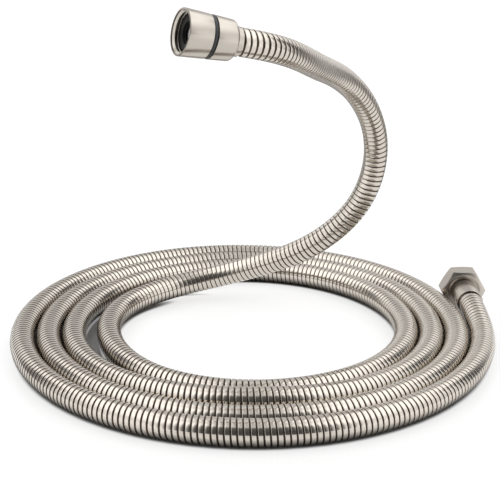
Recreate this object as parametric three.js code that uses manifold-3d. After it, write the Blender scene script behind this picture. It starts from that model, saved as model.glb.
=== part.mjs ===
// Shower hose: a strip-wound steel hose with a rubber water tube inside, a hexagon swivel nut
// on one end and a round swivel nut on the other. It lies in a flat coil of nearly four turns,
// and the round end rises over the coil in one open loop.
// Millimetres, +Z up. The coil lies on Z = 0, and the origin is below the middle of the whole part.
import * as THREE from 'three';
import { mergeVertices } from 'three/addons/utils/BufferGeometryUtils.js';
import Module from 'manifold-3d';

const wasm = await Module();
wasm.setup();

// Running and assembly clearance between pieces that touch
const clearance = 0.3;

// How far a cutting solid stands past the face that it cuts
const cutPast = 1;

// Hose and water tube
const hoseDiameter = 14;
const hoseWall = 1.2;
const hoseSides = 12;
const crimpDepth = 0.5;
const crimpedDiameter = hoseDiameter - 2 * crimpDepth;
const tubeSlack = 0.4;
const tubeWall = 0.9;
const tubeSides = 8;
const tubeDiameter = (hoseDiameter - 2 * hoseWall) * Math.cos(Math.PI / hoseSides) - 2 * tubeSlack;
const tubeBore = tubeDiameter - 2 * tubeWall;

// Coil: turns beside each other, wound inwards and clockwise as seen from above
const coilRadius = 135.2;
const turnGap = 0.4;
const turnPitch = hoseDiameter + turnGap;
const coilStart = 9;
const coilEnd = 1169;
const coilStep = 20;

// The third turn rides up on its neighbours at the front of the coil
const rideUpHeight = 2.8;
const rideUpAngle = 809;
const rideUpSpread = 55;

// Hexagon nut lying on one flat, its axis turned in from the rear
const hexAcrossFlats = 24;
const hexNutHeight = 12;
const hexYaw = 2.5;
const hexHoseEnd = [coilRadius - 1.8, 41.0];

// Hexagon end: the hose comes up from the floor to the height of the nut's axis
const hexApproach = [
  [coilRadius - 0.4, 9.0, 10.3],
  [coilRadius - 0.2, -6.5, 8.0],
];

// Raised end: centre of the hose from the coil's last turn to the round nut
const riseRoute = [
  [-43.0, -74.5, 7.0],
  [-64.9, -50.7, 7.0],
  [-76.6, -23.0, 7.0],
  [-79.2, 9.0, 7.0],
  [-68.0, 38.0, 7.5],
  [-44.5, 57.0, 9.8],
  [-16.5, 62.3, 15.4],
  [9.7, 57.5, 24.9],
  [32.6, 50.0, 36.7],
  [51.5, 45.4, 51.1],
  [65.2, 43.5, 67.6],
  [72.9, 42.0, 86.8],
  [74.0, 38.5, 108.1],
  [66.9, 29.0, 130.3],
  [52.5, 9.5, 149.5],
  [36.0, -22.5, 163.2],
  [20.8, -55.5, 175.6],
];
const roundHoseEnd = [-12.26, -81.36, 186.9];
const roundDirection = [-0.880, -0.423, 0.217];

// Stretch of each end that is straight behind its fitting
const hexStraight = 16;
const roundStraight = 19.7;

// Pipe thread G 1/2 as a plain bore at its crests
const threadBore = 18.63;
const threadMouth = 21.0;
const mouthChamfer = 1.0;

// Head, slip ring and washer lie inside the thread's crests
const headGap = 0.4;
const headLip = 1.615;
const headDiameter = threadBore - 2 * headGap;

// Ferrules over the crimped ends of the hose: wall, length over the hose, front face
const ferruleBore = crimpedDiameter + 2 * clearance;
const hexFerrule = { wall: 1.0, grip: 13, front: 5.5 };
const roundFerrule = { wall: 0.4, grip: 7.7, front: 5.2 };

// Spigots: shank with barbs in the tube, plug in the ferrule, neck in the nut, head behind the washer
const spigotBore = 5.6;
const shankLength = 12;
const barbDepth = 0.35;
const barbDiameter = tubeBore * Math.cos(Math.PI / tubeSides) - 2 * clearance;
const barbCount = 3;
const barbSlope = 0.8;
const tubeOverrun = 3;
const plugStart = tubeOverrun + clearance;
const neckDiameter = headDiameter - 2 * headLip;
const headThickness = 1.5;
const ringThickness = 0.6;
const spigotMouth = 7.4;
const washerThickness = 2.2;
const washerHole = 10.6;
const hexBackWall = 2.2;
const roundBackWall = 4.3;

// O-rings on the necks, inside the back walls of the nuts
const ringSection = 1.0;
const ringGrooveDepth = 1.4;

// Clamp rings round the tube's ends
const clampRingWall = 0.9;

// Recess round the ferrule in the hexagon nut's back face
const recessDiameter = 19.2;
const recessDepth = 0.5;

// Round end: round nut, dark grip ring and rear sleeve, all on one slight cone
const mouthDiameter = 22.8;
const roundNutLength = 12.9;
const roundNutRearDiameter = 21.4;
const gripRingWidth = 1.6;
const gripRingDiameter = 20.9;
const gripRingCrown = [0.3, 0.5];
const sleeveFrontDiameter = 21.2;
const sleeveRearDiameter = 20.0;
const sleeveFront = 7.2;
const sleeveRear = -4.7;
const shoulderRadius = 2.4;
const shoulderSteps = 6;
const edgeChamfer = 0.4;

// Facets round the turned pieces
const wide = 40;
const narrow = 24;
const oRingSides = 6;

const nickel = { color: 0xb9b1a8, roughness: 0.32, metalness: 1.0 };
const brass = { color: 0xb08d4c, roughness: 0.4, metalness: 1.0 };
const blackRubber = { color: 0x161616, roughness: 0.75, metalness: 0.0 };
const darkRing = { color: 0x3a3b3c, roughness: 0.5, metalness: 0.0 };
const greyRubber = { color: 0x4a4a4a, roughness: 0.8, metalness: 0.0 };
const whitePlastic = { color: 0xe6e4dc, roughness: 0.5, metalness: 0.0 };

function piece(name, geometry, finish) {
  const mesh = new THREE.Mesh(geometry, new THREE.MeshStandardMaterial(finish));
  mesh.name = name;
  return mesh;
}

// Solids for joining and cutting
function toSolid(geometry) {
  const plain = geometry.clone();
  plain.deleteAttribute('normal');
  plain.deleteAttribute('uv');
  const merged = mergeVertices(plain, 1e-5);
  return new wasm.Manifold(new wasm.Mesh({
    numProp: 3,
    vertProperties: new Float32Array(merged.attributes.position.array),
    triVerts: new Uint32Array(merged.index.array),
  }));
}

function toGeometry(solid) {
  const mesh = solid.getMesh();
  const geometry = new THREE.BufferGeometry();
  geometry.setAttribute('position', new THREE.BufferAttribute(mesh.vertProperties, 3));
  geometry.setIndex(new THREE.BufferAttribute(mesh.triVerts, 1));
  geometry.computeVertexNormals();
  return geometry;
}

// Turned piece round +Y: [radius, height] points that go up on the outside and down on the inside
function turned(profile, facets = wide) {
  const points = profile.map(([radius, height]) => new THREE.Vector2(radius, height));
  if (profile[0][0] > 0) points.push(points[0].clone());
  return new THREE.LatheGeometry(points, facets);
}

function sleeve(outer, inner, from, to, facets = wide) {
  return turned([[inner / 2, from], [outer / 2, from], [outer / 2, to], [inner / 2, to]], facets);
}

// Route of the hose's centre
const hoseRadius = hoseDiameter / 2;
const hexAxis = new THREE.Vector3(
  -Math.sin(THREE.MathUtils.degToRad(hexYaw)), Math.cos(THREE.MathUtils.degToRad(hexYaw)), 0);
const hexEnd = new THREE.Vector3(hexHoseEnd[0], hexHoseEnd[1], hexAcrossFlats / 2);
const roundAxis = new THREE.Vector3(...roundDirection).normalize();
const roundEnd = new THREE.Vector3(...roundHoseEnd);

function coilPoint(angle) {
  const turn = THREE.MathUtils.degToRad(angle);
  const radius = coilRadius - turnPitch * angle / 360;
  const away = Math.min(Math.abs(angle - rideUpAngle) / rideUpSpread, 1);
  const lift = rideUpHeight * (1 + Math.cos(Math.PI * away)) / 2;
  return new THREE.Vector3(radius * Math.cos(turn), -radius * Math.sin(turn), hoseRadius + lift);
}

function routePoints(overrun) {
  const along = (end, axis, distance) => end.clone().addScaledVector(axis, distance);
  const points = [along(hexEnd, hexAxis, overrun), along(hexEnd, hexAxis, -hexStraight)];
  hexApproach.forEach((point) => points.push(new THREE.Vector3(...point)));
  for (let angle = coilStart; angle <= coilEnd; angle += coilStep) points.push(coilPoint(angle));
  riseRoute.forEach((point) => points.push(new THREE.Vector3(...point)));
  points.push(along(roundEnd, roundAxis, -roundStraight), along(roundEnd, roundAxis, overrun));
  return points;
}

// One step of the sweep for each point of the route, so that neighbouring turns' facets line up
class StationRoute extends THREE.CatmullRomCurve3 {
  getPointAt(u, target) {
    return this.getPoint(u, target);
  }

  getTangentAt(u, target) {
    return this.getTangent(u, target);
  }
}

function ring(radius, sides) {
  return Array.from({ length: sides }, (_, i) => {
    const turn = 2 * Math.PI * i / sides;
    return new THREE.Vector2(radius * Math.cos(turn), radius * Math.sin(turn));
  });
}

function sweptTube(diameter, wall, sides, overrun) {
  const points = routePoints(overrun);
  const section = new THREE.Shape(ring(diameter / 2, sides));
  section.holes.push(new THREE.Path(ring(diameter / 2 - wall, sides)));
  return new THREE.ExtrudeGeometry(section, {
    steps: points.length - 1,
    bevelEnabled: false,
    extrudePath: new StationRoute(points),
  });
}

// Group whose +Y runs out of the hose, with its origin at the hose's cut end
function endGroup(end, axis) {
  const group = new THREE.Group();
  group.position.copy(end);
  group.quaternion.setFromUnitVectors(new THREE.Vector3(0, 1, 0), axis);
  group.updateMatrixWorld(true);
  return group;
}

// Hose: its ends are crimped down to fit in the ferrules
function steelHose(ends) {
  let hose = toSolid(sweptTube(hoseDiameter, hoseWall, hoseSides, 0));
  ends.forEach(({ group, ferrule }) => {
    const cutter = sleeve(
      hoseDiameter + 2 * cutPast, crimpedDiameter, -ferrule.grip - clearance, cutPast, narrow);
    hose = hose.subtract(toSolid(cutter.applyMatrix4(group.matrixWorld)));
  });
  return toGeometry(hose);
}

// Places along an end's axis, worked out from where the nut's back face is
function seats(nutBack, backWall) {
  const wallFront = nutBack + backWall;
  const ringFrom = wallFront + clearance;
  const headFrom = ringFrom + ringThickness + clearance;
  const washerFrom = headFrom + headThickness + clearance;
  return { wallFront, ringFrom, headFrom, washerFrom, washerTo: washerFrom + washerThickness };
}

function spigot(groove, headFrom, ferruleFront) {
  const bore = spigotBore / 2;
  const plug = ferruleBore / 2 - clearance;
  const root = barbDiameter / 2 - barbDepth;
  const headTo = headFrom + headThickness;
  const grooveHalf = ringSection / 2 + clearance;
  const neck = neckDiameter / 2;
  const profile = [[bore, -shankLength]];
  const barbPitch = shankLength / (barbCount + 1);
  for (let i = 0; i < barbCount; i += 1) {
    const from = -shankLength + i * barbPitch;
    profile.push([root, from], [barbDiameter / 2, from + barbSlope * barbPitch]);
    profile.push([root, from + barbSlope * barbPitch]);
  }
  profile.push([root, plugStart], [plug, plugStart], [plug, ferruleFront]);
  profile.push([neck, ferruleFront + clearance], [neck, groove - grooveHalf]);
  profile.push([neck - ringGrooveDepth, groove - grooveHalf], [neck - ringGrooveDepth, groove + grooveHalf]);
  profile.push([neck, groove + grooveHalf], [neck, headFrom]);
  profile.push([headDiameter / 2, headFrom], [headDiameter / 2, headTo]);
  profile.push([spigotMouth / 2, headTo], [bore, headTo - (spigotMouth / 2 - bore)]);
  return turned(profile, narrow);
}

// The small pieces that both ends share
function innerPieces(prefix, nutBack, backWall, ferrule) {
  const seat = seats(nutBack, backWall);
  const groove = nutBack + backWall / 2;
  const hole = neckDiameter + 2 * clearance;
  const oRing = new THREE.TorusGeometry(
    neckDiameter / 2 - ringGrooveDepth + clearance + ringSection / 2, ringSection / 2, oRingSides, narrow);
  oRing.rotateX(Math.PI / 2).translate(0, groove, 0);
  const clampInner = tubeDiameter + 2 * clearance;
  return [
    piece(`${prefix}_spigot`, spigot(groove, seat.headFrom, ferrule.front), brass),
    piece(`${prefix}_thrust_ring`,
      sleeve(headDiameter, hole, seat.ringFrom, seat.ringFrom + ringThickness, narrow), whitePlastic),
    piece(`${prefix}_washer`,
      sleeve(headDiameter, washerHole, seat.washerFrom, seat.washerTo, wide), blackRubber),
    piece(`${prefix}_o_ring`, oRing, blackRubber),
    piece(`${prefix}_clamp_ring`,
      sleeve(clampInner + 2 * clampRingWall, clampInner, clearance, tubeOverrun, narrow), brass),
    piece(`${prefix}_ferrule`,
      sleeve(ferruleBore + 2 * ferrule.wall, ferruleBore, -ferrule.grip, ferrule.front), nickel),
  ];
}

// Inside of a nut, as a solid to cut away: hole for the neck, chamber, thread bore and mouth chamfer
function nutInside(nutBack, nutFront, backWall) {
  const hole = neckDiameter / 2 + clearance;
  const bore = threadBore / 2;
  return turned([
    [0, nutBack - cutPast], [hole, nutBack - cutPast],
    [hole, nutBack + backWall], [bore, nutBack + backWall],
    [bore, nutFront - mouthChamfer], [threadMouth / 2, nutFront], [threadMouth / 2, nutFront + cutPast],
    [0, nutFront + cutPast],
  ]);
}

// Hexagon bar with both ends turned to a chamfer, then bored, with a recess in its back face
function hexNut(nutBack) {
  const nutFront = nutBack + hexNutHeight;
  const flatRadius = hexAcrossFlats / 2;
  const cornerRadius = flatRadius / Math.cos(Math.PI / 6);
  const hexagon = new THREE.Shape(ring(cornerRadius, 6));
  const bar = new THREE.ExtrudeGeometry(hexagon, { depth: hexNutHeight, bevelEnabled: false });
  bar.rotateX(-Math.PI / 2).translate(0, nutBack, 0);
  const rim = cornerRadius + cutPast;
  const chamfer = (rim - flatRadius + edgeChamfer) * Math.tan(Math.PI / 6);
  const blank = turned([
    [0, nutBack], [flatRadius - edgeChamfer, nutBack], [rim, nutBack + chamfer],
    [rim, nutFront - chamfer], [flatRadius - edgeChamfer, nutFront], [0, nutFront],
  ]);
  const recess = turned([
    [0, nutBack - cutPast], [recessDiameter / 2, nutBack - cutPast],
    [recessDiameter / 2, nutBack + recessDepth], [0, nutBack + recessDepth],
  ]);
  return toGeometry(toSolid(bar).intersect(toSolid(blank))
    .subtract(toSolid(nutInside(nutBack, nutFront, hexBackWall))).subtract(toSolid(recess)));
}

function roundNut(nutBack) {
  const nutFront = nutBack + roundNutLength;
  const rear = roundNutRearDiameter / 2;
  const front = mouthDiameter / 2;
  const body = turned([
    [0, nutBack], [rear - edgeChamfer, nutBack], [rear, nutBack + edgeChamfer],
    [front, nutFront - edgeChamfer], [front - edgeChamfer, nutFront], [0, nutFront],
  ]);
  return toGeometry(toSolid(body).subtract(toSolid(nutInside(nutBack, nutFront, roundBackWall))));
}

// Rear sleeve with a round shoulder where the hose leaves it
function rearSleeve(front) {
  const bore = Math.max(ferruleBore + 2 * roundFerrule.wall, neckDiameter) / 2 + clearance;
  const rear = sleeveRearDiameter / 2;
  const profile = [[bore, sleeveRear]];
  for (let i = 0; i <= shoulderSteps; i += 1) {
    const turn = Math.PI / 2 * i / shoulderSteps;
    const radius = rear - shoulderRadius + shoulderRadius * Math.sin(turn);
    const height = sleeveRear + shoulderRadius * (1 - Math.cos(turn));
    if (radius > bore) profile.push([radius, height]);
  }
  const rim = sleeveFrontDiameter / 2;
  profile.push([rim, front - edgeChamfer], [rim - edgeChamfer, front], [bore, front]);
  return turned(profile);
}

// Dark grip ring, slightly crowned, between the round nut and the rear sleeve
function gripRing(from) {
  const hole = neckDiameter / 2 + clearance;
  const outer = gripRingDiameter / 2;
  const to = from + gripRingWidth;
  const [drop, run] = gripRingCrown;
  return turned([
    [hole, from], [outer - drop, from], [outer, from + run],
    [outer, to - run], [outer - drop, to], [hole, to],
  ]);
}

// Assembly
const hexNutBack = hexFerrule.front + clearance;
const gripFrom = sleeveFront + clearance;
const roundNutBack = gripFrom + gripRingWidth + clearance;

const hexFitting = endGroup(hexEnd, hexAxis);
hexFitting.add(piece('hex_nut', hexNut(hexNutBack), nickel));
hexFitting.add(...innerPieces('hex', hexNutBack, hexBackWall, hexFerrule));

const roundFitting = endGroup(roundEnd, roundAxis);
roundFitting.add(piece('round_nut', roundNut(roundNutBack), nickel));
roundFitting.add(piece('grip_ring', gripRing(gripFrom), darkRing));
roundFitting.add(piece('rear_sleeve', rearSleeve(sleeveFront), nickel));
roundFitting.add(...innerPieces('round', roundNutBack, roundBackWall, roundFerrule));

const hose = new THREE.Group();
hose.add(piece('steel_hose', steelHose([
  { group: hexFitting, ferrule: hexFerrule }, { group: roundFitting, ferrule: roundFerrule },
]), nickel));
hose.add(piece('inner_tube', sweptTube(tubeDiameter, tubeWall, tubeSides, tubeOverrun), greyRubber));
hose.add(hexFitting, roundFitting);

// The origin is at the middle of the part's footprint
const box = new THREE.Box3().setFromObject(hose, true);
hose.position.set(-(box.min.x + box.max.x) / 2, -(box.min.y + box.max.y) / 2, 0);
hose.updateMatrixWorld(true);

export default hose;
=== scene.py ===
import math

import bmesh
import bpy
import numpy as np
from mathutils import Matrix, Vector


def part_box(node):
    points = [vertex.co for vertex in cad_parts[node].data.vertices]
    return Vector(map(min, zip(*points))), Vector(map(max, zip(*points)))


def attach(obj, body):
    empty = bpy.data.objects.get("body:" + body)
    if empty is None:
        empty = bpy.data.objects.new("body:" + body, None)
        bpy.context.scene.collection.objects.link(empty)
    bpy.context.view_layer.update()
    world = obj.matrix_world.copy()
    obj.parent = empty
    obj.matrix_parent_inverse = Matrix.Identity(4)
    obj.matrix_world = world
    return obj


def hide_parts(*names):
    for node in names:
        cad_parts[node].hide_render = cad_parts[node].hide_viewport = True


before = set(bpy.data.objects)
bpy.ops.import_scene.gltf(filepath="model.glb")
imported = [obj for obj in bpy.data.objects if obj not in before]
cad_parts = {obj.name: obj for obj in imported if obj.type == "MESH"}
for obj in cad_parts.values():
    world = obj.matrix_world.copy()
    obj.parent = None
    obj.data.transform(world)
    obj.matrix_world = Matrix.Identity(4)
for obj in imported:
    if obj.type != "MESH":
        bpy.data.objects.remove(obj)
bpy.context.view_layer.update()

# Sizes shared with the CAD model, in metres
HOSE_RADIUS = 0.007
HOSE_BORE = 0.0058
CRIMPED_RADIUS = 0.0065
HEX_GRIP, ROUND_GRIP = 0.0130, 0.0077
HEX_YAW = math.radians(2.5)
HEX_NUT_BACK, HEX_NUT_FRONT = 0.0058, 0.0178
ROUND_NUT_BACK, ROUND_NUT_FRONT = 0.0094, 0.0223
HEX_STRAIGHT, ROUND_STRAIGHT = 0.0160, 0.0197

# Coil
COIL_RADIUS = 0.1352
TURN_PITCH = 0.0144
COIL_ANGLES = range(9, 1170, 20)
RIDE_UP_HEIGHT, RIDE_UP_ANGLE, RIDE_UP_SPREAD = 0.0028, 809, 55

# Centre of the hose from the hexagon end to the coil, and from the coil to the round end
HEX_HOSE_END = (0.1334, 0.0410, 0.0120)
HEX_APPROACH = [(0.1348, 0.0090, 0.0103), (0.1350, -0.0065, 0.0080)]
RISE_ROUTE = [
    (-0.0430, -0.0745, 0.0070), (-0.0649, -0.0507, 0.0070), (-0.0766, -0.0230, 0.0070),
    (-0.0792, 0.0090, 0.0070), (-0.0680, 0.0380, 0.0075), (-0.0445, 0.0570, 0.0098),
    (-0.0165, 0.0623, 0.0154), (0.0097, 0.0575, 0.0249), (0.0326, 0.0500, 0.0367),
    (0.0515, 0.0454, 0.0511), (0.0652, 0.0435, 0.0676), (0.0729, 0.0420, 0.0868),
    (0.0740, 0.0385, 0.1081), (0.0669, 0.0290, 0.1303), (0.0525, 0.0095, 0.1495),
    (0.0360, -0.0225, 0.1632), (0.0208, -0.0555, 0.1756),
]
ROUND_HOSE_END = (-0.01226, -0.08136, 0.1869)
HEX_AXIS = Vector((-math.sin(HEX_YAW), math.cos(HEX_YAW), 0))
ROUND_AXIS = Vector((-0.880, -0.423, 0.217)).normalized()


def frame_offset():
    """From the coil's centre to the frame's origin, by the middle of the hexagon nut."""
    low, high = (Vector(corner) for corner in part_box("hex_nut"))
    middle = Vector(HEX_HOSE_END) + HEX_AXIS * (HEX_NUT_BACK + HEX_NUT_FRONT) / 2
    offset = (low + high) / 2 - middle
    return Vector((offset.x, offset.y, 0))


OFFSET = frame_offset()
HEX_END = Vector(HEX_HOSE_END) + OFFSET
ROUND_END = Vector(ROUND_HOSE_END) + OFFSET


# Camera at the photograph's viewpoint. Its focal length is in picture widths
SENSOR_WIDTH = 36
FOCAL_LENGTH = 1226.3 / 500
CAMERA_PLACE = (0.0013, -0.6585, 0.2823)
CAMERA_PITCH, CAMERA_ROLL = math.radians(90 - 19.13), math.radians(0.552)


def photo_camera():
    data = bpy.data.cameras.new("camera")
    data.sensor_width = SENSOR_WIDTH
    data.lens = SENSOR_WIDTH * FOCAL_LENGTH
    data.clip_end = 20
    camera = bpy.data.objects.new("camera", data)
    bpy.context.collection.objects.link(camera)
    turned = Matrix.Rotation(CAMERA_PITCH, 4, "X") @ Matrix.Rotation(CAMERA_ROLL, 4, "Z")
    camera.matrix_world = Matrix.Translation(Vector(CAMERA_PLACE) + OFFSET) @ turned
    bpy.context.scene.camera = camera


# Route of the hose
FINE_POINTS = 24000
LINE_STEP = 0.0005


def coil_point(angle):
    turn = math.radians(angle)
    radius = COIL_RADIUS - TURN_PITCH * angle / 360
    away = min(abs(angle - RIDE_UP_ANGLE) / RIDE_UP_SPREAD, 1)
    lift = RIDE_UP_HEIGHT * (1 + math.cos(math.pi * away)) / 2
    return Vector((radius * math.cos(turn), -radius * math.sin(turn), HOSE_RADIUS + lift))


def route_points():
    points = [HEX_END, HEX_END - HEX_AXIS * HEX_STRAIGHT]
    points += [Vector(p) + OFFSET for p in HEX_APPROACH]
    points += [coil_point(angle) + OFFSET for angle in COIL_ANGLES]
    points += [Vector(p) + OFFSET for p in RISE_ROUTE]
    points += [ROUND_END - ROUND_AXIS * ROUND_STRAIGHT, ROUND_END]
    return np.array([tuple(p) for p in points])


def smooth_line(points, start_slope, end_slope, step):
    """Cubic spline through the points, as places at an even distance along it."""
    knots = np.concatenate([[0], np.cumsum(np.linalg.norm(np.diff(points, axis=0), axis=1))])
    gap = np.diff(knots)
    n = len(points)
    system = np.zeros((n, n))
    right = np.zeros((n, 3))
    system[0, 0] = system[-1, -1] = 1
    right[0], right[-1] = start_slope, end_slope
    for i in range(1, n - 1):
        system[i, i - 1:i + 2] = gap[i], 2 * (gap[i - 1] + gap[i]), gap[i - 1]
        right[i] = 3 * (gap[i] * (points[i] - points[i - 1]) / gap[i - 1]
                        + gap[i - 1] * (points[i + 1] - points[i]) / gap[i])
    slope = np.linalg.solve(system, right)
    fine = np.linspace(0, knots[-1], FINE_POINTS)
    i = np.clip(np.searchsorted(knots, fine, side="right") - 1, 0, n - 2)
    t = ((fine - knots[i]) / gap[i])[:, None]
    run = gap[i][:, None]
    line = ((1 + 2 * t) * (1 - t) ** 2 * points[i] + t * (1 - t) ** 2 * run * slope[i]
            + t ** 2 * (3 - 2 * t) * points[i + 1] - t ** 2 * (1 - t) * run * slope[i + 1])
    line[:, 2] = np.maximum(line[:, 2], HOSE_RADIUS)
    travelled = np.concatenate([[0], np.cumsum(np.linalg.norm(np.diff(line, axis=0), axis=1))])
    count = int(round(travelled[-1] / step)) + 1
    even = np.linspace(0, travelled[-1], count)
    return even, np.stack([np.interp(even, travelled, line[:, k]) for k in range(3)], axis=1)


class Centreline:
    """The hose's centre with two directions across it that don't twist."""

    def __init__(self):
        ends = -np.array(HEX_AXIS), np.array(ROUND_AXIS)
        self.at, self.line = smooth_line(route_points(), *ends, LINE_STEP)
        self.length = self.at[-1]
        self.along = np.gradient(self.line, self.at, axis=0)
        self.along /= np.linalg.norm(self.along, axis=1)[:, None]
        self.bend = np.gradient(self.along, self.at, axis=0)
        across = np.empty_like(self.along)
        side = np.cross((0.0, 0.0, 1.0), self.along[0])
        for k, ahead in enumerate(self.along):
            side = side - ahead * side.dot(ahead)
            side /= np.linalg.norm(side)
            across[k] = side
        self.across = across
        self.up = np.cross(self.along, across)

    def sample(self, values, places):
        return np.stack([np.interp(places, self.at, values[:, k]) for k in range(3)], axis=-1)

    def outward(self, places, angles):
        """Unit vectors across the hose, at an angle round it."""
        return (np.cos(angles)[..., None] * self.sample(self.across, places)
                + np.sin(angles)[..., None] * self.sample(self.up, places))


# Strip-wound wall: one strip, wound side by side with its own edge. Its rows run from one
# groove face over the rounded edges to the other, and EDGE_LEANS tips their normals along the hose
RIB_PITCH = 0.00305
STRIP_WIDTH, WIDEST_HALF = 0.00237, 0.47
GROOVE_DEPTH = 0.0011
EDGE_DROP, EDGE_WIDTH = 0.00012, 0.00018
EDGE_LEANS = (0.0, -1.3, -0.07, 0.07, 1.3)
COLUMNS = 20
HELIX_START = math.pi
# GROOVE_SLOT holds near-black metal: painted shade in the grooves and in the bore
BAND_SLOT, GROOVE_SLOT = 0, 1
GROOVE_ROWS = 2
BORE_SIDES, BORE_STEP = 12, 0.012
CRIMP_RUN = 0.0008


def crimp(places, length):
    """How far the ends are pressed in under their ferrules."""
    past_ferrule = np.minimum(places - HEX_GRIP, length - places - ROUND_GRIP)
    return (HOSE_RADIUS - CRIMPED_RADIUS) * np.clip(1 - past_ferrule / CRIMP_RUN, 0, 1)


def strip_vertex(column, row):
    return column * len(EDGE_LEANS) + row


def strip_wound_wall(centre):
    """The strip's vertices, their normals, and its faces with their UVs and material slots."""
    turns = int(round(centre.length / RIB_PITCH))
    pitch = centre.length / (turns + 1)
    columns = np.arange(turns * COLUMNS + 1)
    angles = 2 * np.pi * columns / COLUMNS + HELIX_START
    middles = pitch * (columns / COLUMNS + 0.5)
    outward = centre.outward(middles, angles)
    # The strip keeps its width, so its grooves open on the outside of a bend and close inside it
    stretch = 1 - HOSE_RADIUS * np.sum(outward * centre.sample(centre.bend, middles), axis=1)
    half = np.minimum(STRIP_WIDTH / 2 / stretch, WIDEST_HALF * pitch)
    edge = EDGE_WIDTH / stretch
    sunk = crimp(middles, centre.length)
    rows = [
        (-pitch / 2 * np.ones_like(half), HOSE_RADIUS - GROOVE_DEPTH),
        (-half, HOSE_RADIUS - EDGE_DROP),
        (-half + edge, HOSE_RADIUS),
        (half - edge, HOSE_RADIUS),
        (half, HOSE_RADIUS - EDGE_DROP),
    ]
    verts = np.empty((len(columns), len(rows), 3))
    normals = np.empty_like(verts)
    uvs = np.empty((len(columns), len(rows), 2))
    for j, (shift, radius) in enumerate(rows):
        places = np.clip(middles + shift, 0, centre.length)
        round_it = centre.outward(places, angles)
        verts[:, j] = centre.sample(centre.line, places) + (radius - sunk)[:, None] * round_it
        normals[:, j] = round_it + EDGE_LEANS[j] * centre.sample(centre.along, places)
        uvs[:, j, 0] = columns / COLUMNS
        uvs[:, j, 1] = shift / pitch
    faces, face_uvs, slots = [], [], []
    top = len(rows) - 1
    for c in range(len(columns) - 1):
        for j in range(top):
            slots.append(GROOVE_SLOT if j < GROOVE_ROWS else BAND_SLOT)
            faces.append((strip_vertex(c, j), strip_vertex(c + 1, j),
                          strip_vertex(c + 1, j + 1), strip_vertex(c, j + 1)))
            face_uvs.append([uvs[c, j], uvs[c + 1, j], uvs[c + 1, j + 1], uvs[c, j + 1]])
        far = c + COLUMNS
        if far + 1 < len(columns):
            slots.append(GROOVE_SLOT)
            faces.append((strip_vertex(c, top), strip_vertex(c + 1, top),
                          strip_vertex(far + 1, 0), strip_vertex(far, 0)))
            face_uvs.append([uvs[c, -1], uvs[c + 1, -1], (uvs[c + 1, 0, 0], 0.5), (uvs[c, 0, 0], 0.5)])
    return verts.reshape(-1, 3), normals.reshape(-1, 3), faces, face_uvs, slots


def rings_round(centre, places, sides):
    """Unit vectors out from the centre, in rings of this many sides."""
    spots = np.repeat(places[:, None], sides, axis=1)
    turns = np.repeat((2 * np.pi * np.arange(sides) / sides)[None, :], len(places), axis=0)
    return centre.outward(spots, turns)


def hose_mesh(centre):
    """The wound wall, the bore inside it and the two cut ends, as one closed mesh."""
    verts, normals, faces, face_uvs, slots = strip_wound_wall(centre)
    base = len(verts)
    top, last = len(EDGE_LEANS) - 1, base // len(EDGE_LEANS) - 1
    start_loop = ([strip_vertex(c, 0) for c in range(COLUMNS + 1)]
                  + [strip_vertex(0, j) for j in range(top, 0, -1)])
    end_loop = ([strip_vertex(c, top) for c in range(last - COLUMNS, last + 1)]
                + [strip_vertex(last, j) for j in range(top - 1, -1, -1)])
    steps = int(centre.length / BORE_STEP)
    places = np.linspace(0, centre.length, steps + 1)
    outward = rings_round(centre, places, BORE_SIDES)
    bore = centre.sample(centre.line, places)[:, None, :] + HOSE_BORE * outward
    verts = np.concatenate([verts, bore.reshape(-1, 3)])
    normals = np.concatenate([normals, -outward.reshape(-1, 3)])
    normals /= np.linalg.norm(normals, axis=1)[:, None]
    bore_vertex = lambda ring, k: base + ring * BORE_SIDES + k % BORE_SIDES
    for i in range(steps):
        for k in range(BORE_SIDES):
            faces.append((bore_vertex(i, k), bore_vertex(i + 1, k),
                          bore_vertex(i + 1, k + 1), bore_vertex(i, k + 1)))
            face_uvs.append([(0, 0)] * 4)
            slots.append(GROOVE_SLOT)
    mesh = bpy.data.meshes.new("hose")
    mesh.from_pydata(verts.tolist(), [], faces)
    mesh.polygons.foreach_set("material_index", slots)
    layer = mesh.uv_layers.new(name="strip")
    layer.data.foreach_set("uv", np.array(face_uvs, dtype=np.float32).ravel())
    work = bmesh.new()
    work.from_mesh(mesh)
    work.verts.ensure_lookup_table()
    for loop, ring in ((start_loop, 0), (end_loop, steps)):
        edges = set()
        for a, b in zip(loop, loop[1:] + loop[:1]):
            pair = work.verts[a], work.verts[b]
            edges.add(work.edges.get(pair) or work.edges.new(pair))
        for k in range(BORE_SIDES):
            a, b = bore_vertex(ring, k), bore_vertex(ring, k + 1)
            edges.add(work.edges.get((work.verts[a], work.verts[b])))
        bmesh.ops.bridge_loops(work, edges=list(edges))
    bmesh.ops.recalc_face_normals(work, faces=work.faces)
    for face in work.faces:
        face.smooth = True
    work.to_mesh(mesh)
    work.free()
    mesh.normals_split_custom_set_from_vertices(normals.tolist())
    return mesh


# Fittings: turned pieces in the frame of each end, whose third axis runs out of the hose
def end_matrix(end, axis, side):
    across = (side - axis * side.dot(axis)).normalized()
    matrix = Matrix((across, axis.cross(across), axis)).transposed().to_4x4()
    matrix.translation = end
    return matrix


HEX_PLACE = end_matrix(HEX_END, HEX_AXIS, Vector((math.cos(HEX_YAW), math.sin(HEX_YAW), 0)))
ROUND_PLACE = end_matrix(ROUND_END, ROUND_AXIS, Vector((0, 0, 1)))


CORNER_STEPS = 3
SHARP_EDGE = math.radians(32)
SEGMENTS, NUT_SEGMENTS = 96, 144
UV_PER_METRE = 100


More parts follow.
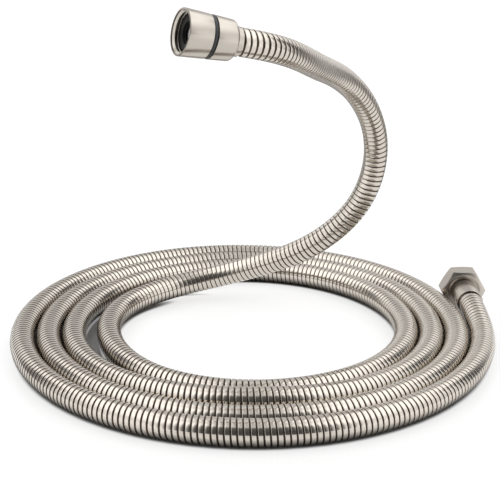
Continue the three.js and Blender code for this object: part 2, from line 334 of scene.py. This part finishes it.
def eased(profile, radius):
    """Closed profile with its corners rounded."""
    points = [Vector(p) for p in profile]
    out = []
    for k, corner in enumerate(points):
        before, after = points[k - 1] - corner, points[(k + 1) % len(points)] - corner
        cut = min(radius, 0.45 * before.length, 0.45 * after.length)
        a, b = corner + before.normalized() * cut, corner + after.normalized() * cut
        for i in range(CORNER_STEPS + 1):
            t = i / CORNER_STEPS
            out.append((1 - t) ** 2 * a + 2 * t * (1 - t) * corner + t ** 2 * b)
    return [tuple(p) for p in out]


def turned_mesh(name, profile, outline=None, segments=SEGMENTS):
    """Ring of the closed [radius, height] profile. outline changes a point for its angle."""
    work = bmesh.new()
    grid = []
    for i in range(segments):
        angle = 2 * math.pi * i / segments
        column = profile if outline is None else [outline(r, h, angle) for r, h in profile]
        grid.append([work.verts.new((r * math.cos(angle), r * math.sin(angle), h)) for r, h in column])
    layer = work.loops.layers.uv.new("turned")
    run = [0.0]
    for a, b in zip(profile, profile[1:] + profile[:1]):
        run.append(run[-1] + math.dist(a, b))
    for i in range(segments):
        for k in range(len(profile)):
            n = (k + 1) % len(profile)
            beside = grid[(i + 1) % segments]
            face = work.faces.new([grid[i][k], beside[k], beside[n], grid[i][n]])
            places = [(i, k), (i + 1, k), (i + 1, k + 1), (i, k + 1)]
            for loop, (u, v) in zip(face.loops, places):
                loop[layer].uv = (u / segments, run[v] * UV_PER_METRE)
            face.smooth = True
    bmesh.ops.recalc_face_normals(work, faces=work.faces)
    for edge in work.edges:
        edge.smooth = edge.calc_face_angle(0) < SHARP_EDGE
    mesh = bpy.data.meshes.new(name)
    work.to_mesh(mesh)
    work.free()
    return mesh


def fitting_piece(name, node, mesh, place, body, material):
    """Dressed piece that replaces a CAD node and moves with a body."""
    mesh.transform(place)
    piece = bpy.data.objects.new(name, mesh)
    bpy.context.collection.objects.link(piece)
    mesh.materials.append(material)
    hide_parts(node)
    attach(piece, body)


# Materials. Each tone has a little variation of its own
BLOTCH_SHARE = 0.35
GRAIN_DARK, GRAIN_LIGHT = 0.82, 1.12


def nodes_of(material):
    material.use_nodes = True
    tree = material.node_tree
    return tree.nodes, tree.links, tree.nodes["Principled BSDF"]


def brushed_nickel(name, uv_layer, streaks, tone, roughness, wear):
    """Satin nickel whose brush lines run along U. streaks stretches them, wear is how far they vary."""
    material = bpy.data.materials.new(name)
    nodes, links, shader = nodes_of(material)
    shader.inputs["Metallic"].default_value = 1
    shader.inputs["Anisotropic"].default_value = 0.45
    shader.inputs["Anisotropic Rotation"].default_value = 0.25
    uv = nodes.new("ShaderNodeUVMap")
    uv.uv_map = uv_layer
    stretch = nodes.new("ShaderNodeMapping")
    stretch.inputs["Scale"].default_value = streaks
    links.new(uv.outputs["UV"], stretch.inputs["Vector"])
    brush = nodes.new("ShaderNodeTexNoise")
    brush.inputs["Scale"].default_value = 1
    brush.inputs["Detail"].default_value = 4
    links.new(stretch.outputs["Vector"], brush.inputs["Vector"])
    place = nodes.new("ShaderNodeTexCoord")
    blotch = nodes.new("ShaderNodeTexNoise")
    blotch.inputs["Scale"].default_value = 60
    blotch.inputs["Detail"].default_value = 2
    links.new(place.outputs["Object"], blotch.inputs["Vector"])
    mixed = nodes.new("ShaderNodeMath")
    mixed.operation = "MULTIPLY_ADD"
    mixed.inputs[1].default_value = BLOTCH_SHARE
    links.new(blotch.outputs["Fac"], mixed.inputs[0])
    links.new(brush.outputs["Fac"], mixed.inputs[2])
    colour = nodes.new("ShaderNodeValToRGB")
    colour.color_ramp.elements[0].position = 0.40
    colour.color_ramp.elements[1].position = 0.95
    colour.color_ramp.elements[0].color = (*[c * (1 - wear) for c in tone], 1)
    colour.color_ramp.elements[1].color = (*tone, 1)
    links.new(mixed.outputs[0], colour.inputs["Fac"])
    links.new(colour.outputs["Color"], shader.inputs["Base Color"])
    rough = nodes.new("ShaderNodeMapRange")
    rough.inputs["From Min"].default_value = 0.3
    rough.inputs["From Max"].default_value = 0.7
    rough.inputs["To Min"].default_value, rough.inputs["To Max"].default_value = roughness
    links.new(brush.outputs["Fac"], rough.inputs["Value"])
    links.new(rough.outputs["Result"], shader.inputs["Roughness"])
    bump = nodes.new("ShaderNodeBump")
    bump.inputs["Strength"].default_value = 0.12
    bump.inputs["Distance"].default_value = 0.00005
    links.new(brush.outputs["Fac"], bump.inputs["Height"])
    links.new(bump.outputs["Normal"], shader.inputs["Normal"])
    tangent = nodes.new("ShaderNodeTangent")
    tangent.direction_type = "UV_MAP"
    tangent.uv_map = uv_layer
    links.new(tangent.outputs["Tangent"], shader.inputs["Tangent"])
    return material


def plain(name, tone, roughness, grain, metal=0.0):
    """Moulded or turned material with a fine grain."""
    material = bpy.data.materials.new(name)
    nodes, links, shader = nodes_of(material)
    shader.inputs["Metallic"].default_value = metal
    place = nodes.new("ShaderNodeTexCoord")
    noise = nodes.new("ShaderNodeTexNoise")
    noise.inputs["Scale"].default_value = grain
    noise.inputs["Detail"].default_value = 3
    links.new(place.outputs["Object"], noise.inputs["Vector"])
    colour = nodes.new("ShaderNodeMix")
    colour.data_type = "RGBA"
    colour.inputs["A"].default_value = (*[c * GRAIN_DARK for c in tone], 1)
    colour.inputs["B"].default_value = (*[min(c * GRAIN_LIGHT, 1) for c in tone], 1)
    links.new(noise.outputs["Fac"], colour.inputs["Factor"])
    links.new(colour.outputs["Result"], shader.inputs["Base Color"])
    rough = nodes.new("ShaderNodeMapRange")
    rough.inputs["To Min"].default_value, rough.inputs["To Max"].default_value = roughness
    links.new(noise.outputs["Fac"], rough.inputs["Value"])
    links.new(rough.outputs["Result"], shader.inputs["Roughness"])
    bump = nodes.new("ShaderNodeBump")
    bump.inputs["Strength"].default_value = 0.15
    bump.inputs["Distance"].default_value = 0.0001
    links.new(noise.outputs["Fac"], bump.inputs["Height"])
    links.new(bump.outputs["Normal"], shader.inputs["Normal"])
    return material


HOSE_TONE, TURNED_TONE, SATIN_TONE = (0.70, 0.645, 0.575), (0.55, 0.505, 0.45), (0.58, 0.53, 0.47)
WOUND, TURNED = (1.2, 9, 1), (1.5, 60, 1)
hose_nickel = brushed_nickel("hose_nickel", "strip", WOUND, HOSE_TONE, (0.10, 0.18), 0.18)
# Near-black metal for the groove faces and the bore: painted shade of the deep grooves and of the
# hose's inside
painted_shade_steel = plain("painted_shade_steel", (0.085, 0.067, 0.052), (0.35, 0.5), 1500, metal=1.0)
turned_nickel = brushed_nickel("turned_nickel", "turned", TURNED, TURNED_TONE, (0.18, 0.27), 0.08)
satin_nickel = brushed_nickel("satin_nickel", "turned", TURNED, SATIN_TONE, (0.26, 0.34), 0.10)
black_rubber = plain("black_rubber", (0.006, 0.006, 0.0065), (0.35, 0.50), 2500)
grey_rubber = plain("grey_rubber", (0.07, 0.07, 0.07), (0.55, 0.75), 2500)
dark_plastic = plain("dark_plastic", (0.045, 0.047, 0.05), (0.35, 0.5), 1800)
white_plastic = plain("white_plastic", (0.75, 0.74, 0.70), (0.35, 0.5), 1500)
plated_metal = plain("plated_metal", (0.46, 0.45, 0.43), (0.30, 0.45), 1500, metal=1.0)
turned_brass = plain("turned_brass", (0.62, 0.42, 0.16), (0.25, 0.4), 1500, metal=1.0)


# Sizes along each end's axis and radii, as in the CAD model, in metres
CLEARANCE = 0.0003
HEX_WALL, ROUND_WALL = 0.0022, 0.0043
RING_THICKNESS, HEAD_THICKNESS, WASHER_THICKNESS = 0.0006, 0.0015, 0.0022
HEAD_RADIUS, WASHER_HOLE = 0.008915, 0.0053
THREAD_CREST, THREAD_ROOT, THREAD_PITCH = 0.009315, 0.0104775, 0.001814
MOUTH_RADIUS, MOUTH_CHAMFER, CHAMBER = 0.0105, 0.0004, 0.0040
THREAD_START, THREAD_RUNOUT = 0.0007, (0.0002, 0.0008)
NECK_HOLE = 0.0073 + CLEARANCE
ROUND_NUT_RADII = (0.0107, 0.0114)
GRIP_RADIUS, GRIP_BACK, GRIP_FRONT = 0.01045, 0.0075, 0.0091
SLEEVE_RADII, SLEEVE_BACK, SLEEVE_FRONT = (0.0100, 0.0106), -0.0047, 0.0072
SLEEVE_SHOULDER = 0.0024
FERRULE_BORE, HEX_FERRULE, ROUND_FERRULE = 0.0068, 0.0078, 0.0072
HEX_FERRULE_FRONT, ROUND_FERRULE_FRONT = 0.0055, 0.0052
HEX_FLAT, HEX_BEVEL = 0.012, 0.0009
HEX_OUTSIDE, HEX_CORNER_CUT = 0.0130, 0.00012
RECESS_RADIUS, RECESS_DEPTH = 0.0096, 0.0005

# Roundings, only in the scene
EDGE = 0.0004
GRIP_EDGE, COLLAR_EDGE, WASHER_EDGE = 0.0004, 0.00025, 0.0003


def thread_rows(wall_front, mouth):
    """Profile of the bore from the mouth inwards: thread ridges, then the plain chamber."""
    rows = [(MOUTH_RADIUS, mouth), (THREAD_ROOT, mouth - MOUTH_CHAMFER)]
    height = mouth - THREAD_START
    while height - THREAD_PITCH > wall_front + CHAMBER:
        rows += [(THREAD_ROOT, height), (THREAD_CREST, height - 0.40 * THREAD_PITCH),
                 (THREAD_CREST, height - 0.60 * THREAD_PITCH),
                 (THREAD_ROOT, height - 0.999 * THREAD_PITCH)]
        height -= THREAD_PITCH
    from_root, to_crest = THREAD_RUNOUT
    return rows + [(THREAD_ROOT, height - from_root), (THREAD_CREST, height - to_crest),
                   (THREAD_CREST, wall_front)]


def soft_edge(radius, end, inward):
    """Points of a small rounding from a face at end to a side of this radius. inward is 1 or -1."""
    return [(radius - EDGE, end), (radius - 0.2 * EDGE, end + 0.25 * EDGE * inward),
            (radius, end + EDGE * inward)]


def hexagon_outline(back, front):
    """Turns a profile's outer points into a hexagon bar with a turned chamfer at both ends."""
    face = HEX_FLAT - HEX_BEVEL

    def outline(radius, height, angle):
        if radius < face + 1e-6:
            return radius, height
        off_flat = abs((angle % (math.pi / 3)) - math.pi / 6)
        corner = HEX_FLAT / math.cos(math.pi / 6) - HEX_CORNER_CUT
        reach = min(HEX_FLAT / math.cos(off_flat), corner)
        drop = (reach - face) * math.tan(math.pi / 6)
        return reach, front - drop if height > (back + front) / 2 else back + drop
    return outline


def hex_nut():
    back, front = HEX_NUT_BACK, HEX_NUT_FRONT
    wall, recess = back + HEX_WALL, back + RECESS_DEPTH
    outer = [(NECK_HOLE, recess), (RECESS_RADIUS - 0.0002, recess), (RECESS_RADIUS, recess - 0.0001),
             (RECESS_RADIUS + 0.0001, back), (HEX_FLAT - HEX_BEVEL, back),
             (HEX_OUTSIDE, back + 0.001), (HEX_OUTSIDE, front - 0.001), (HEX_FLAT - HEX_BEVEL, front)]
    profile = outer + thread_rows(wall, front) + [(NECK_HOLE, wall)]
    mesh = turned_mesh("hex_body", profile, hexagon_outline(back, front), NUT_SEGMENTS)
    fitting_piece("hex_body", "hex_nut", mesh, HEX_PLACE, "hex_nut", satin_nickel)


def round_nut():
    back, front = ROUND_NUT_BACK, ROUND_NUT_FRONT
    wall = back + ROUND_WALL
    rear, mouth = ROUND_NUT_RADII
    outer = [(NECK_HOLE, back)] + soft_edge(rear, back, 1) + soft_edge(mouth, front, -1)[::-1]
    mesh = turned_mesh("round_body", outer + thread_rows(wall, front) + [(NECK_HOLE, wall)])
    fitting_piece("round_body", "round_nut", mesh, ROUND_PLACE, "round_nut",
                  turned_nickel)


def on_hose(name, node, profile, place, material):
    fitting_piece(name, node, turned_mesh(name, profile), place, "hose", material)


def ring(bore, radius, back, front, easing):
    return eased([(bore, back), (radius, back), (radius, front), (bore, front)], easing)


def sleeves():
    grip = ring(NECK_HOLE, GRIP_RADIUS, GRIP_BACK, GRIP_FRONT, GRIP_EDGE)
    on_hose("grip_band", "grip_ring", grip, ROUND_PLACE, dark_plastic)
    rear, front = SLEEVE_RADII
    shoulder = [(rear - SLEEVE_SHOULDER * (1 - math.sin(t)),
                 SLEEVE_BACK + SLEEVE_SHOULDER * (1 - math.cos(t)))
                for t in np.linspace(0.04, math.pi / 2, 10)]
    profile = ([(NECK_HOLE, SLEEVE_BACK)] + shoulder + soft_edge(front, SLEEVE_FRONT, -1)[::-1]
               + [(NECK_HOLE, SLEEVE_FRONT)])
    on_hose("shoulder_sleeve", "rear_sleeve", profile, ROUND_PLACE, turned_nickel)
    for name, place, radius, grip, front in (
            ("hex", HEX_PLACE, HEX_FERRULE, HEX_GRIP, HEX_FERRULE_FRONT),
            ("round", ROUND_PLACE, ROUND_FERRULE, ROUND_GRIP, ROUND_FERRULE_FRONT)):
        collar = ring(FERRULE_BORE, radius, -grip, front, COLLAR_EDGE)
        on_hose(f"{name}_collar", f"{name}_ferrule", collar, place, turned_nickel)


def washers():
    for name, place, wall_front in (("hex", HEX_PLACE, HEX_NUT_BACK + HEX_WALL),
                                    ("round", ROUND_PLACE, ROUND_NUT_BACK + ROUND_WALL)):
        near = wall_front + 3 * CLEARANCE + RING_THICKNESS + HEAD_THICKNESS
        washer = ring(WASHER_HOLE, HEAD_RADIUS, near, near + WASHER_THICKNESS, WASHER_EDGE)
        on_hose(f"{name}_seal", f"{name}_washer", washer, place, black_rubber)


# Rubber tube in the hose. It follows the hose's curve, where the CAD tube cuts its bends short
TUBE_RADIUS, TUBE_BORE, TUBE_OVERRUN = 0.0052, 0.0043, 0.003
TUBE_SIDES, TUBE_STEP = 16, 0.008
TUBE_SHARP_EDGE = math.radians(60)


def water_tube(centre):
    inside = np.linspace(0, centre.length, int(centre.length / TUBE_STEP))
    places = np.concatenate([[-TUBE_OVERRUN], inside, [centre.length + TUBE_OVERRUN]])
    near = np.clip(places, 0, centre.length)
    middles = (centre.sample(centre.line, near)
               + (places - near)[:, None] * centre.sample(centre.along, near))
    outward = rings_round(centre, near, TUBE_SIDES)
    walls = [middles[:, None, :] + radius * outward for radius in (TUBE_RADIUS, TUBE_BORE)]
    verts = np.concatenate([wall.reshape(-1, 3) for wall in walls])
    vertex = lambda wall, i, k: (wall * len(near) + i) * TUBE_SIDES + k % TUBE_SIDES
    last = len(near) - 1
    faces = []
    for k in range(TUBE_SIDES):
        n = k + 1
        for i in range(last):
            faces.append((vertex(0, i, k), vertex(0, i, n), vertex(0, i + 1, n), vertex(0, i + 1, k)))
            faces.append((vertex(1, i, k), vertex(1, i + 1, k), vertex(1, i + 1, n), vertex(1, i, n)))
        faces.append((vertex(0, 0, k), vertex(1, 0, k), vertex(1, 0, n), vertex(0, 0, n)))
        faces.append((vertex(0, last, k), vertex(0, last, n), vertex(1, last, n), vertex(1, last, k)))
    mesh = bpy.data.meshes.new("water_tube")
    mesh.from_pydata(verts.tolist(), [], faces)
    work = bmesh.new()
    work.from_mesh(mesh)
    bmesh.ops.recalc_face_normals(work, faces=work.faces)
    for face in work.faces:
        face.smooth = True
    for edge in work.edges:
        edge.smooth = edge.calc_face_angle(0) < TUBE_SHARP_EDGE
    work.to_mesh(mesh)
    work.free()
    fitting_piece("water_tube", "inner_tube", mesh, Matrix.Identity(4), "hose",
                  grey_rubber)


def carried_over():
    """Better materials on the CAD pieces that stay as they are, inside the fittings."""
    finishes = {"spigot": plated_metal, "clamp_ring": turned_brass, "thrust_ring": white_plastic,
                "o_ring": black_rubber}
    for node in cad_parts:
        for ending, material in finishes.items():
            if node.endswith(ending):
                shown = bpy.data.objects[node]
                shown.data.materials.clear()
                shown.data.materials.append(material)


# Floor, light and background
class Sums:
    """Numbers worked out in a material's or a world's nodes."""

    def __init__(self, tree):
        self.nodes, self.links = tree.nodes, tree.links

    def math(self, operation, first, second=None):
        node = self.nodes.new("ShaderNodeMath")
        node.operation = operation
        for socket, value in zip(node.inputs, (first, second)):
            if isinstance(value, (int, float)):
                socket.default_value = value
            elif value is not None:
                self.links.new(value, socket)
        return node.outputs[0]

    def times(self, first, second):
        return self.math("MULTIPLY", first, second)

    def step(self, value, start, end, low=0.0, high=1.0):
        """Smooth step from low to high while value goes from start to end."""
        node = self.nodes.new("ShaderNodeMapRange")
        node.interpolation_type = "SMOOTHSTEP"
        for name, number in (("From Min", start), ("From Max", end), ("To Min", low), ("To Max", high)):
            node.inputs[name].default_value = number
        self.links.new(value, node.inputs["Value"])
        return node.outputs["Result"]

    def curve(self, value, stops):
        """Straight lines between (place, value) stops."""
        ramp = self.nodes.new("ShaderNodeValToRGB")
        elements = ramp.color_ramp.elements
        for k, (place, number) in enumerate(stops):
            stop = elements[k] if k < 2 else elements.new(place)
            stop.position, stop.color = place, (number, number, number, 1)
        self.links.new(value, ramp.inputs["Fac"])
        return ramp.outputs["Color"]


# Level of the light by the sine of its height above the floor
SKY_LEVELS = ((0.0, 0.90), (1.0, 0.80), (0.38, 1.10), (0.62, 1.50), (0.80, 1.85), (0.93, 1.60))

# Where the light is dimmer, and by how much. Places are the cosine of the angle from straight in
# front of the coil, turned by GAP_TURN, and heights are sines as above
GAP_TURN = math.radians(3)
FRONT_GAP, FRONT_HEIGHTS, FRONT_DEPTHS = (0.68, 0.93), (0.80, 1.0), (0.93, 0.35)
REAR_GAP, REAR_HEIGHTS, REAR_DEPTHS = (-0.87, -0.98), (0.1, 0.5), (0.10, 0.50)
SIDE_GAP, SIDE_WIDTHS, SIDE_HEIGHTS = -0.48, (0.22, 0.10), (0.75, 0.45)
WEST_TO_EAST, SIDE_DEPTHS = (-0.2, 0.2), (0.75, 0.88)

# A low light in front that shows in the sides of the strands
LOW_FRONT, LOW_HEIGHTS, LOW_LIGHT = (0.0, 0.5), (0.45, 0.1), (0.0, 0.35)


def sky():
    """Broad light from all round, with dim gaps in front, at the rear and obliquely behind."""
    world = bpy.data.worlds.new("studio")
    bpy.context.scene.world = world
    world.use_nodes = True
    sums = Sums(world.node_tree)
    look = sums.nodes.new("ShaderNodeTexCoord")
    parts = sums.nodes.new("ShaderNodeSeparateXYZ")
    sums.links.new(look.outputs["Generated"], parts.inputs[0])
    east, north, up = (parts.outputs[name] for name in "XYZ")
    level = sums.math("SQRT", sums.math("ADD", sums.times(east, east), sums.times(north, north)))
    level = sums.math("MAXIMUM", level, 0.001)
    ahead = sums.math("SUBTRACT", sums.times(east, math.sin(GAP_TURN)),
                      sums.times(north, math.cos(GAP_TURN)))
    front = sums.math("DIVIDE", ahead, level)
    front_gap = sums.times(sums.step(front, *FRONT_GAP), sums.step(up, *FRONT_HEIGHTS, *FRONT_DEPTHS))
    rear_gap = sums.times(sums.step(front, *REAR_GAP), sums.step(up, *REAR_HEIGHTS, *REAR_DEPTHS))
    off_side = sums.math("ABSOLUTE", sums.math("SUBTRACT", front, SIDE_GAP))
    side_depth = sums.times(sums.step(east, *WEST_TO_EAST, *SIDE_DEPTHS), sums.step(up, *SIDE_HEIGHTS))
    side_gap = sums.times(sums.step(off_side, *SIDE_WIDTHS), side_depth)
    low_light = sums.times(sums.step(front, *LOW_FRONT), sums.step(up, *LOW_HEIGHTS, *LOW_LIGHT))
    lit = sums.math("ADD", sums.curve(up, SKY_LEVELS), low_light)
    for dim in (front_gap, rear_gap, side_gap):
        lit = sums.times(lit, sums.math("SUBTRACT", 1.0, dim))
    seen = sums.nodes.new("ShaderNodeLightPath")
    shown = sums.nodes.new("ShaderNodeMix")
    shown.inputs["B"].default_value = 1.0
    sums.links.new(seen.outputs["Is Camera Ray"], shown.inputs["Factor"])
    sums.links.new(lit, shown.inputs["A"])
    background = sums.nodes["Background"]
    background.inputs["Color"].default_value = (1, 1, 1, 1)
    sums.links.new(shown.outputs["Result"], background.inputs["Strength"])


# Floor. Its glow starts at these distances from a strand, in metres; the band without glow beside each
# strand is a painted contact shadow over the real one. Beside two strands at once it starts later, so
# that the gaps of the coil stay dark as painted shade. NEXT_STRAND counts samples of the line, after
# LINE_SKIP, within which two samples belong to the same strand
FLOOR_STEP, FLOOR_REACH, FLOOR_END, FLOOR_DROP = 0.0025, 0.175, 8.0, 0.0002
FLOOR_TONE, FLOOR_GLOW = 0.32, 0.68
LINE_SKIP, LYING_BELOW, NEXT_STRAND = 4, 0.030, 60
BESIDE_ONE, FROM_SECOND, BESIDE_TWO = (0.0030, 0.0060), (0.007, 0.012), (0.0090, 0.0150)
# In the metal the floor glows only towards the front and away from the strands: painted reflection of a
# bright floor, with painted shade next to the strands
MIRRORED_FROM, MIRRORED_NORTH = (0.004, 0.018), (0.22, 0.08)


def floor_mesh(centre):
    """Grid that knows its distance to the nearest strand, and how much farther the next one is."""
    work = bmesh.new()
    cells = int(2 * FLOOR_REACH / FLOOR_STEP)
    places = [-FLOOR_END] + [-FLOOR_REACH + FLOOR_STEP * k for k in range(cells + 1)] + [FLOOR_END]
    grid = [[work.verts.new((x, y, 0)) for y in places] for x in places]
    for west, east in zip(grid, grid[1:]):
        for k in range(len(places) - 1):
            work.faces.new((west[k], east[k], east[k + 1], west[k + 1]))
    mesh = bpy.data.meshes.new("floor")
    work.to_mesh(mesh)
    work.free()
    low = centre.line[::LINE_SKIP]
    low = low[low[:, 2] < LYING_BELOW]
    raised = 2 * (low[:, 2] - HOSE_RADIUS)
    free, apart = (mesh.attributes.new(name, "FLOAT", "POINT") for name in ("free", "apart"))
    for k, vert in enumerate(mesh.vertices):
        away = np.hypot(np.hypot(low[:, 0] - vert.co.x, low[:, 1] - vert.co.y), raised)
        nearest = int(np.argmin(away))
        others = np.delete(away, slice(max(nearest - NEXT_STRAND, 0), nearest + NEXT_STRAND))
        free.data[k].value = away[nearest]
        apart.data[k].value = float(np.min(others)) - away[nearest]
    return mesh


def floor(centre):
    """Pale floor that glows to white for the camera and in the metal, but not beside the hose: painted
    shadow.
    """
    mesh = floor_mesh(centre)
    plane = bpy.data.objects.new("floor", mesh)
    plane.location.z = -FLOOR_DROP
    bpy.context.collection.objects.link(plane)
    material = bpy.data.materials.new("floor")
    nodes, links, shader = nodes_of(material)
    shader.inputs["Base Color"].default_value = (FLOOR_TONE, FLOOR_TONE, FLOOR_TONE, 1)
    shader.inputs["Roughness"].default_value = 0.25
    shader.inputs["Specular IOR Level"].default_value = 0.25
    shader.inputs["Emission Color"].default_value = (1, 1, 1, 1)
    sums = Sums(material.node_tree)
    free, apart = nodes.new("ShaderNodeAttribute"), nodes.new("ShaderNodeAttribute")
    free.attribute_name, apart.attribute_name = "free", "apart"
    place, parts = nodes.new("ShaderNodeTexCoord"), nodes.new("ShaderNodeSeparateXYZ")
    links.new(place.outputs["Object"], parts.inputs[0])
    seen = nodes.new("ShaderNodeLightPath")
    # No glow near a strand or in the coil's gaps: painted contact shadow and painted shade between the
    # strands, over the real shadow
    outside = sums.times(sums.step(free.outputs["Fac"], *BESIDE_ONE),
                         sums.step(apart.outputs["Fac"], *FROM_SECOND))
    beyond_painted_shadow = sums.math("MAXIMUM", outside, sums.step(free.outputs["Fac"], *BESIDE_TWO))
    direct = sums.times(seen.outputs["Is Camera Ray"], sums.times(beyond_painted_shadow, FLOOR_GLOW))
    in_metal = sums.math("MAXIMUM", seen.outputs["Is Glossy Ray"], seen.outputs["Is Transmission Ray"])
    mirrored = sums.times(sums.times(in_metal, sums.step(parts.outputs["Y"], *MIRRORED_NORTH)),
                          sums.step(free.outputs["Fac"], *MIRRORED_FROM, 0.0, FLOOR_GLOW))
    links.new(sums.math("ADD", direct, mirrored), shader.inputs["Emission Strength"])
    mesh.materials.append(material)


def studio(centre):
    sky()
    floor(centre)
    bpy.context.scene.view_settings.view_transform = "Standard"


photo_camera()
centre = Centreline()
hose = bpy.data.objects.new("hose", hose_mesh(centre))
bpy.context.collection.objects.link(hose)
hose.data.materials.append(hose_nickel)
hose.data.materials.append(painted_shade_steel)
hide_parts("steel_hose")
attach(hose, "hose")

hex_nut()
round_nut()
sleeves()
washers()
water_tube(centre)
carried_over()
studio(centre)

# Points along the hose's centre, every CORD_STEP metres
CORD_STEP = 0.004
path = centre.sample(centre.line, np.linspace(0, centre.length, int(centre.length / CORD_STEP)))
